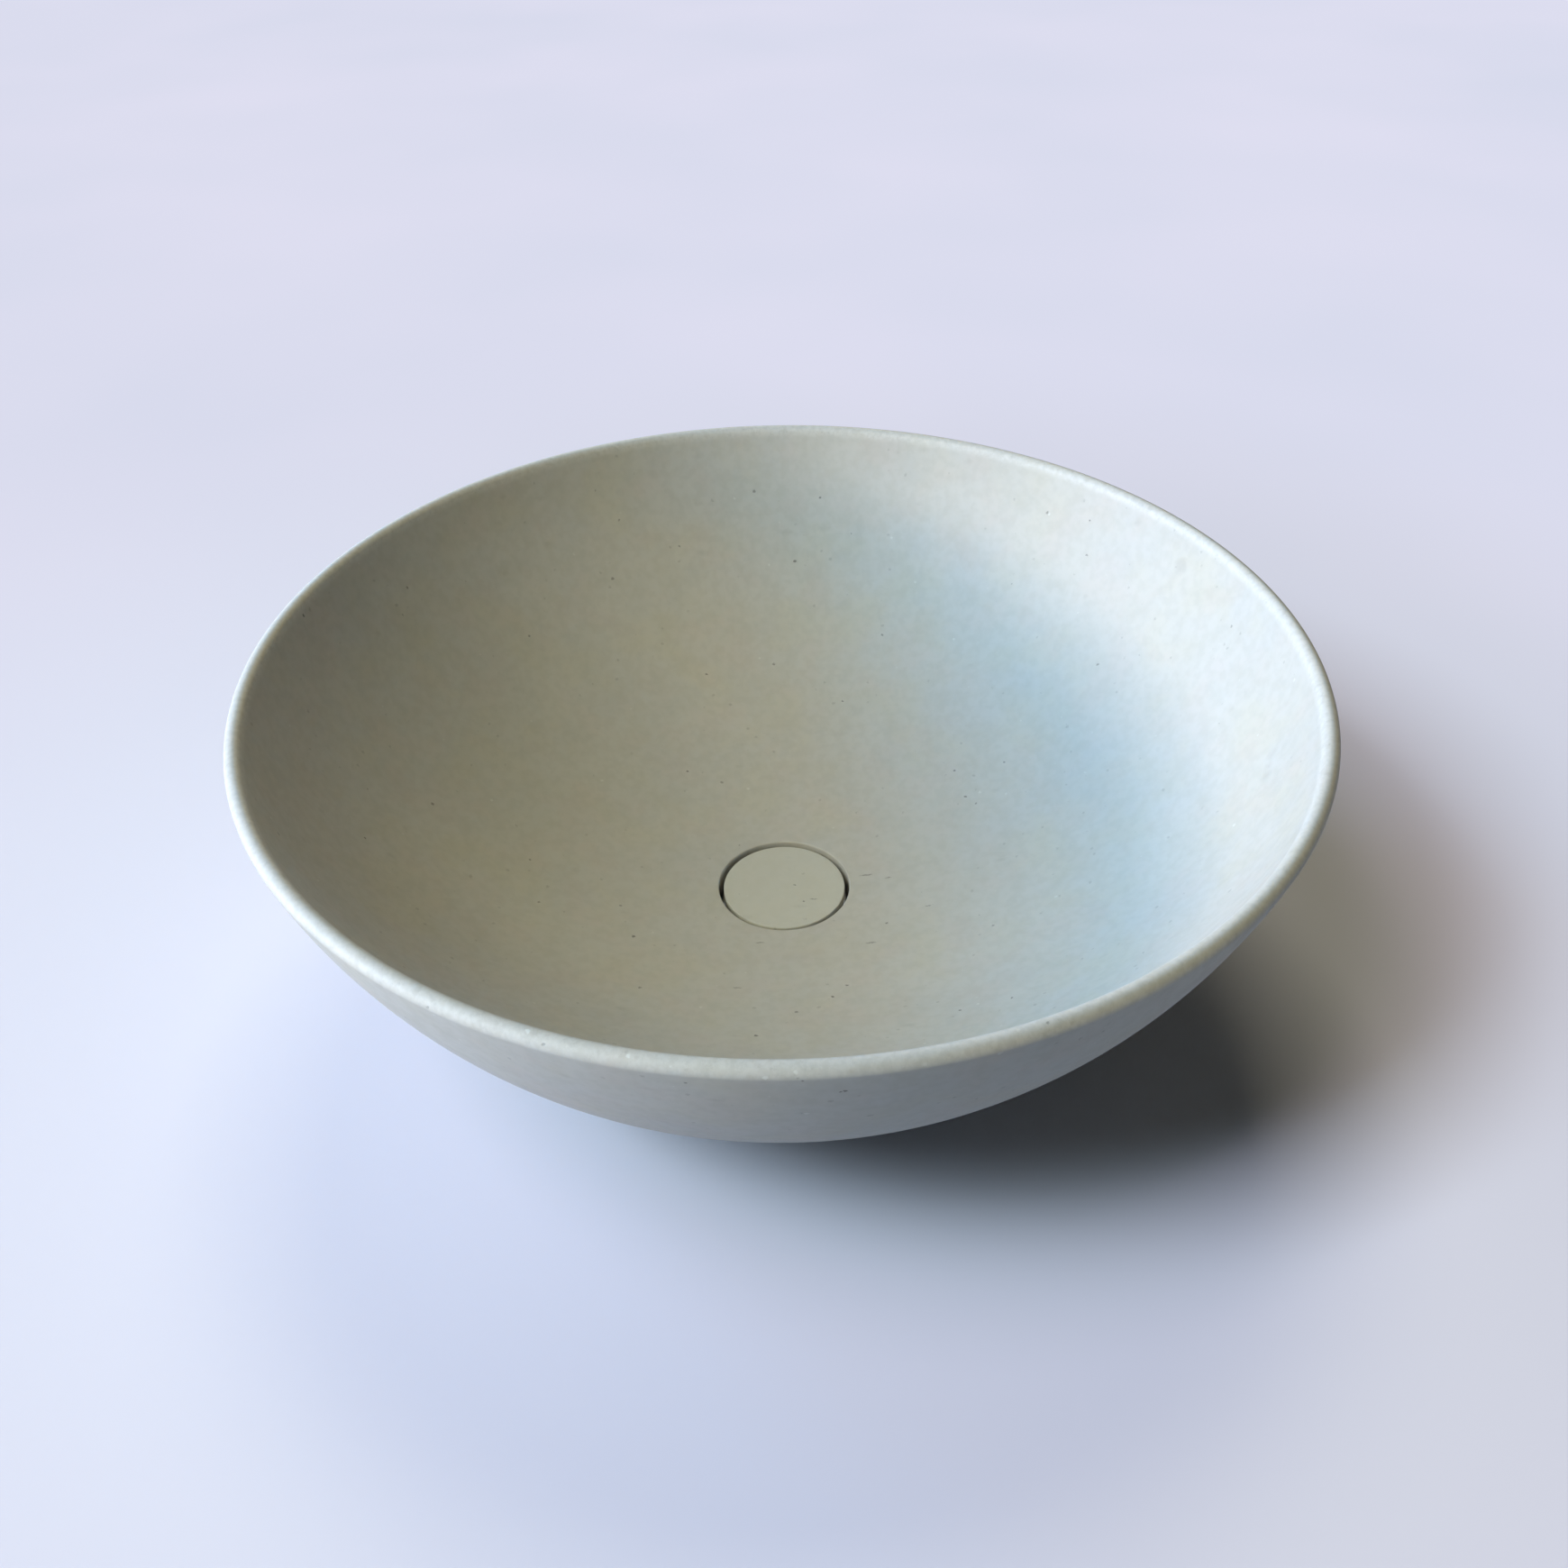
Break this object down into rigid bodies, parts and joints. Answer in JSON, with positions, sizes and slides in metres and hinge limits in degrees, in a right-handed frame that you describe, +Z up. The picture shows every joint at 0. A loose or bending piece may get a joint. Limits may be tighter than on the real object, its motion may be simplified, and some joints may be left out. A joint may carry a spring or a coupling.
{
  "type": "countertop washbasin",
  "caption": "Round countertop washbasin with a thin full-round lip, a flush drain cover and a push-open waste ending inside its hollow foot.",
  "frame": {"origin": "on the basin's axis, in the plane of the foot that stands on the countertop", "axes": "+Z up along the axis of the bowl; the bowl is round, so +X and +Y are free"},
  "size_m": [0.42, 0.4199, 0.155],
  "materials": {
    "cast_stone": "matte, fine dark specks",
    "adhesive": "cured sealant",
    "brass": "turned",
    "chrome": "polished plating",
    "steel": "bright",
    "black_rubber": "matte",
    "white_plastic": "moulded"
  },
  "bodies": {
    "basin": {"bowl": "cast_stone", "latch_spring": "steel", "cartridge_sleeve": "chrome", "stem_bush": "white_plastic", "stem_ring": "black_rubber", "cartridge_base": "brass", "waste_body": "chrome", "flange_gasket": "black_rubber", "bowl_washer": "black_rubber", "slip_ring": "white_plastic", "back_nut": "brass"},
    "cover": {"cover_disc": "cast_stone", "cover_bond": "adhesive", "cover_carrier": "brass", "cover_seal": "black_rubber", "lock_nut": "brass", "plunger": "brass", "thrust_washer": "steel"},
    "rotor": {"latch_rotor": "white_plastic"}
  },
  "joints": [
    {"name": "cover_lift", "type": "slide", "parent": "basin", "child": "cover", "axis": [0, 0, 1], "range_m": [0, 0.008], "deforming": ["latch_spring"]},
    {"name": "latch_turn", "type": "hinge", "parent": "cover", "child": "rotor", "pos_m": [0, 0, 0.012], "axis": [0, 0, 1], "range_deg": [0, 45]}
  ],
  "couplings": [
    {"joint": "latch_turn", "follows": "cover_lift", "rad_per_m": 98.17}
  ]
}
